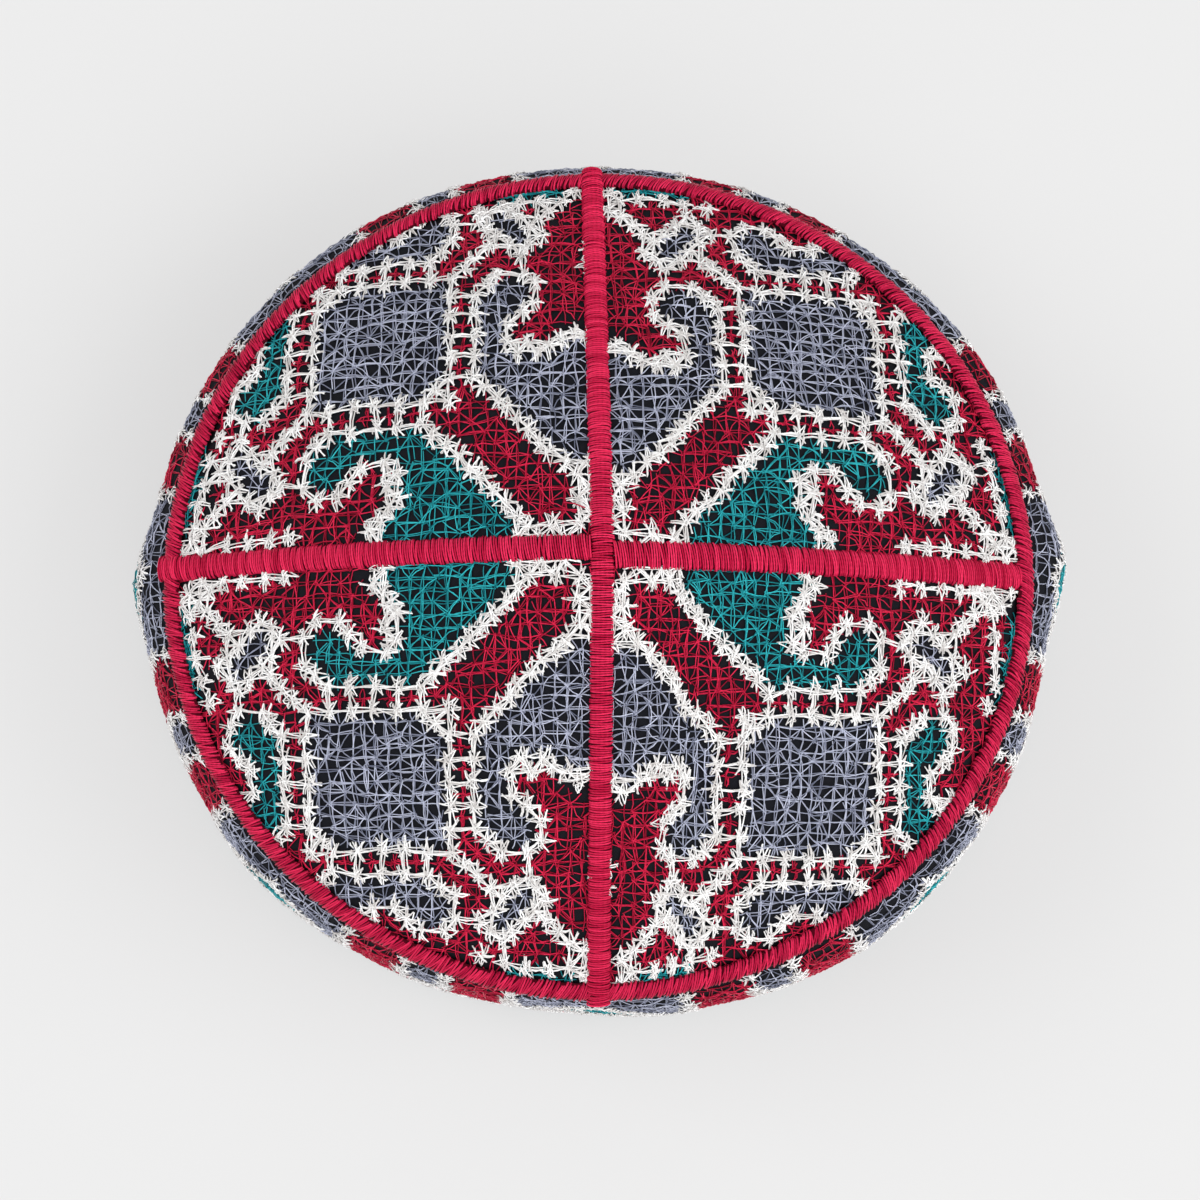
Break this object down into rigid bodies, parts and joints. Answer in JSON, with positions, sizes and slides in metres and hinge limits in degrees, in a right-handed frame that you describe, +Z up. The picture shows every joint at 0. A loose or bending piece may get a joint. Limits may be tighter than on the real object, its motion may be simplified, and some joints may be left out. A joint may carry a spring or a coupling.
{
  "type": "embroidered folk cap",
  "caption": "Round embroidered cap, worn on the head: a shallow pointed dome of quarter panels with raised satin seams, a satin roll at its edge and an upright side band open below.",
  "frame": {"origin": "on the floor under the middle of the cap, level with the lower edge of its band", "axes": "+Z up through the crown, +Y to the back of the cap, +X to its right between the two fold creases"},
  "size_m": [0.198, 0.1754, 0.0891],
  "materials": {
    "embroidered_cloth": "near-black cotton cloth covered in red, off-white, blue-grey and teal star stitches",
    "satin_thread": "glossy red embroidery thread in close satin stitch"
  },
  "bodies": {
    "root": {"crown_panel_back_right": "embroidered_cloth", "crown_panel_back_left": "embroidered_cloth", "crown_panel_front_left": "embroidered_cloth", "crown_panel_front_right": "embroidered_cloth", "crown_seam_front_back": "satin_thread", "crown_seam_left": "satin_thread", "crown_seam_right": "satin_thread", "crown_edge_ring": "satin_thread", "side_band": "embroidered_cloth"}
  },
  "joints": []
}
